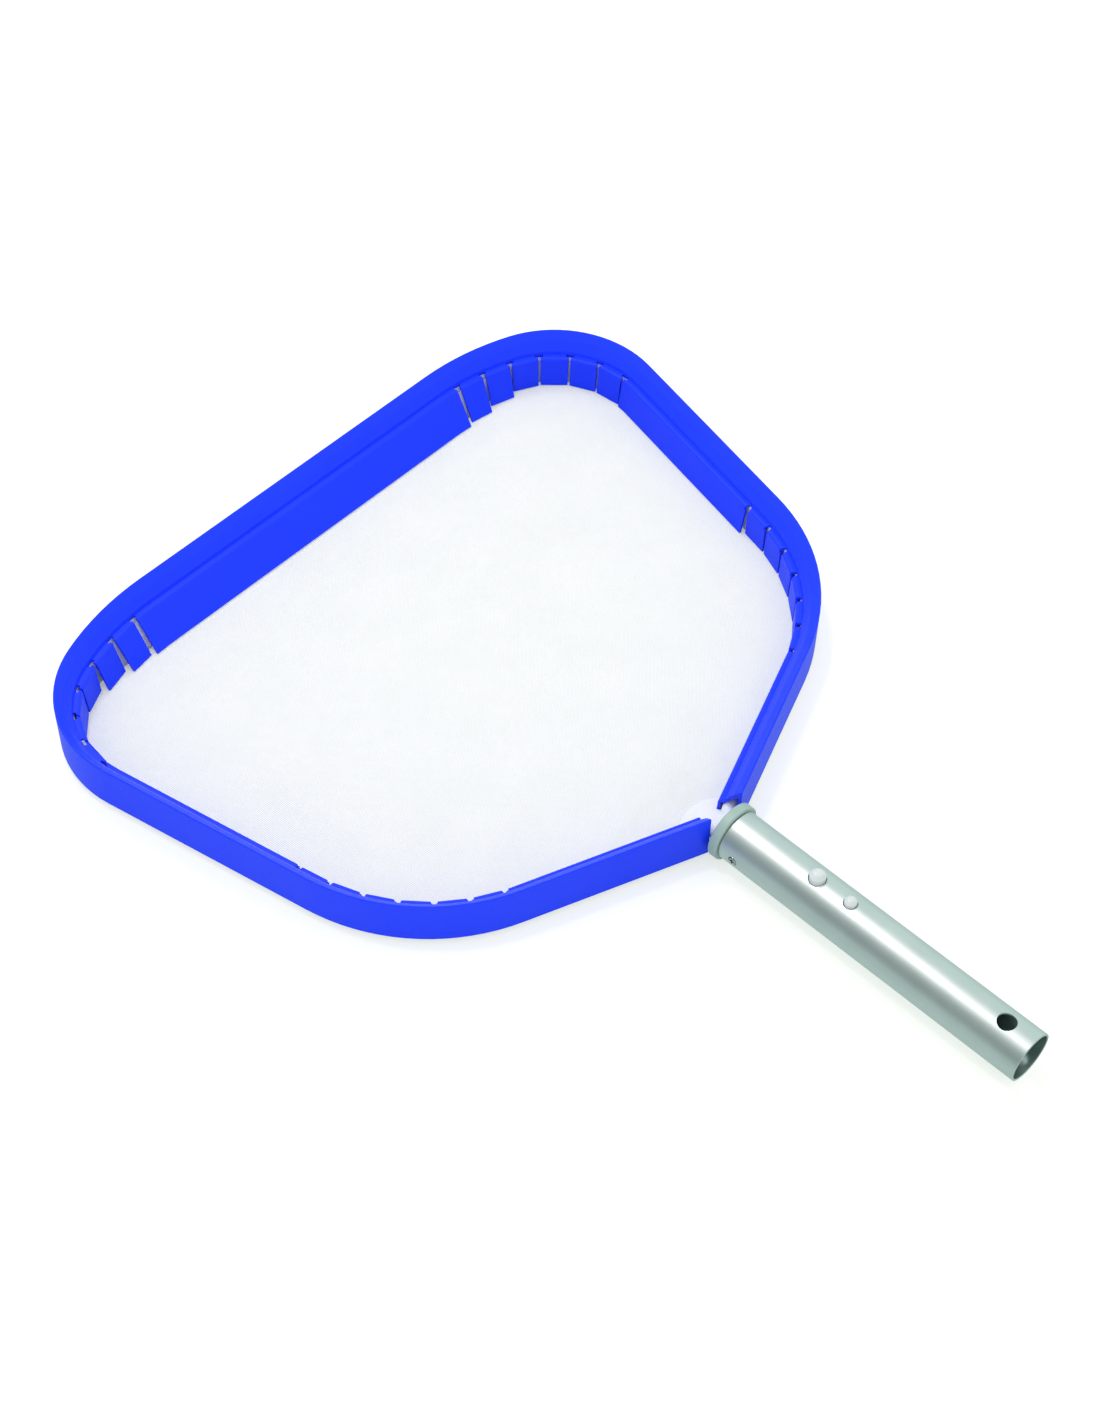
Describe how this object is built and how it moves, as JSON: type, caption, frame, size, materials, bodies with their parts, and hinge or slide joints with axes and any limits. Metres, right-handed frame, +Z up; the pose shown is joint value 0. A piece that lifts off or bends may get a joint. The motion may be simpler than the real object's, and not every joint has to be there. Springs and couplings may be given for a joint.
{
  "type": "leaf skimmer net",
  "caption": "Flat leaf skimmer head: a slotted plastic rim over a rod hoop with stretched mesh, on a short tube handle with sprung lock buttons.",
  "frame": {"origin": "half way along the object on its middle plane, on the floor that the head lies on", "axes": "+Y from the handle's mouth towards the head's front edge, +Z up out of the scoop, +X to the right seen from the handle"},
  "size_m": [0.4262, 0.5338, 0.0361],
  "materials": {
    "rim_plastic": "royal blue extruded plastic, semi gloss",
    "rod_metal": "plain drawn rod",
    "mesh_cloth": "fine white woven mesh",
    "hem_cloth": "doubled white mesh",
    "collar_plastic": "grey moulded plastic",
    "tube_metal": "satin anodised",
    "screw_metal": "plain steel",
    "button_plastic": "white moulded plastic",
    "clip_metal": "spring steel"
  },
  "bodies": {
    "skimmer": {"rim_profile": "rim_plastic", "hoop_rod": "rod_metal", "net_hem": "hem_cloth", "net_mesh": "mesh_cloth", "collar_plug": "collar_plastic", "handle_tube": "tube_metal", "side_screws": "screw_metal", "large_button_clip": "clip_metal", "small_button_clip": "clip_metal"},
    "large_button": {"large_lock_button": "button_plastic"},
    "small_button": {"small_lock_button": "button_plastic"}
  },
  "joints": [
    {"name": "large_button_press", "type": "slide", "parent": "skimmer", "child": "large_button", "axis": [0, 0, -1], "range_m": [0, 0.005], "stiffness_N_per_m": 3500, "springref_m": -0.001, "deforming": ["large_button_clip"]},
    {"name": "small_button_press", "type": "slide", "parent": "skimmer", "child": "small_button", "axis": [0, 0, -1], "range_m": [0, 0.0032], "stiffness_N_per_m": 3500, "springref_m": -0.001, "deforming": ["small_button_clip"]}
  ]
}
